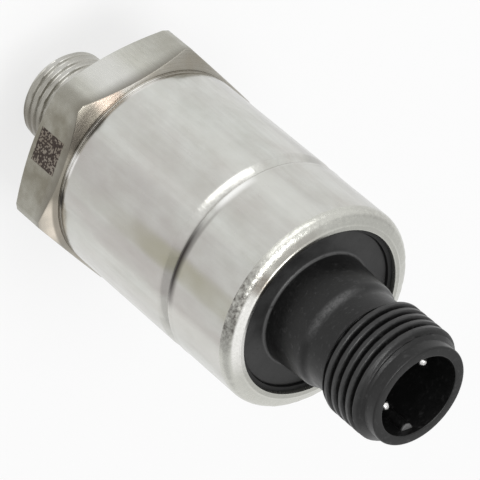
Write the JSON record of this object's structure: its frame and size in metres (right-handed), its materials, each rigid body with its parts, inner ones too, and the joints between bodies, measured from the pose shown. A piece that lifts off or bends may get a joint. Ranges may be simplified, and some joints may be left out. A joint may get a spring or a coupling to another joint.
{
  "type": "pressure transmitter",
  "caption": "Compact pressure transmitter: hexagon port with a pipe-thread stud, rolled and crimped steel can, and a keyed round plug.",
  "frame": {"origin": "on the axis, in the plane of the sealing face under the hexagon", "axes": "+Z along the axis from the stud to the plug; +X square to a wrench flat, through contact 3; the plug's key lies between -X and -Y"},
  "size_m": [0.022, 0.025, 0.0547],
  "materials": {
    "port_steel": "turned stainless steel",
    "can_steel": "satin stainless steel, drawn lengthwise",
    "cell_steel": "fine turned stainless steel",
    "gauge_film": "glassy film",
    "pale_moulding": "moulded",
    "board_laminate": "solder mask",
    "header_moulding": "moulded",
    "chip_resin": "moulded resin",
    "capacitor_body": "fired",
    "link_brass": "tinned brass",
    "seal_rubber": "smooth black elastomer",
    "plug_moulding": "black glass-filled moulding",
    "contact_plating": "bright plated"
  },
  "bodies": {
    "root": {"pressure_port": "port_steel", "port_seal_ring": "seal_rubber", "measuring_cell": "cell_steel", "strain_gauge": "gauge_film", "support_ring": "pale_moulding", "gauge_board": "board_laminate", "gauge_header": "header_moulding", "board_carrier": "pale_moulding", "main_board": "board_laminate", "amplifier": "chip_resin", "regulator": "chip_resin", "protection_diode": "chip_resin", "signal_capacitors": "capacitor_body", "link_pins": "link_brass", "connector_board": "board_laminate", "filter_capacitors": "capacitor_body", "can_seal": "seal_rubber", "housing_can": "can_steel", "connector_housing": "plug_moulding", "contact_pin_1": "contact_plating", "contact_pin_3": "contact_plating"}
  },
  "joints": []
}
